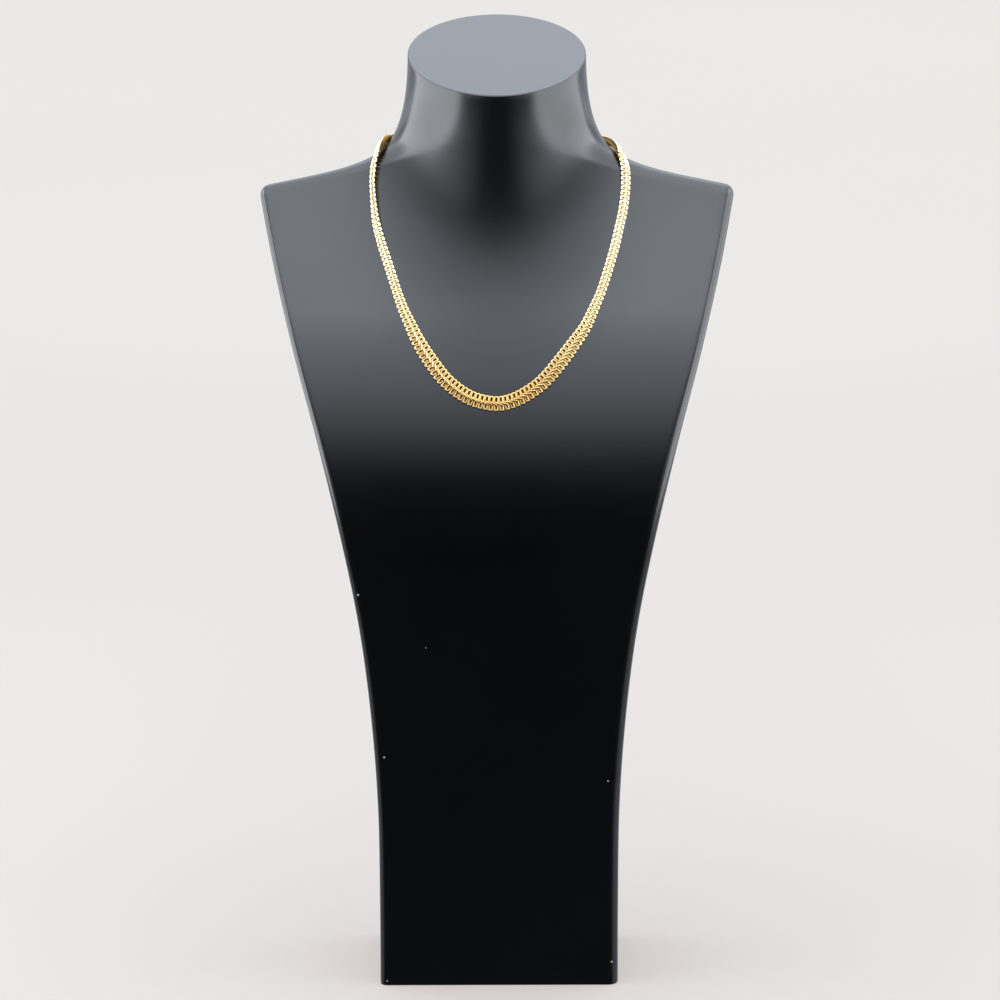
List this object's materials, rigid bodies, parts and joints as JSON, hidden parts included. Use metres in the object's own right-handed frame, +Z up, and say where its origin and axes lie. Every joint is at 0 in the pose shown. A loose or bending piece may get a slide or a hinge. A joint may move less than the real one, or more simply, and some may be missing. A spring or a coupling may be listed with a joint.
{
  "type": "graduated chain necklace on a neck bust",
  "caption": "Gold-coloured chain necklace of oval cross links and small leaning middle rings, widest at the front, fastened round a tall glossy black neck bust with square shoulders.",
  "frame": {"origin": "on the plane that the base stands on, under the middle of the whole object's width and depth", "axes": "+Z up; the chest and the front of the necklace face -Y; +X is to the right as the bust is faced"},
  "size_m": [0.201, 0.1142, 0.4067],
  "materials": {
    "lacquer": "smooth black lacquer with a soft satin gloss",
    "gold": "polished yellow gold colour"
  },
  "bodies": {
    "root": {"neck_bust": "lacquer", "chain": "gold", "clasp": "gold"}
  },
  "joints": []
}
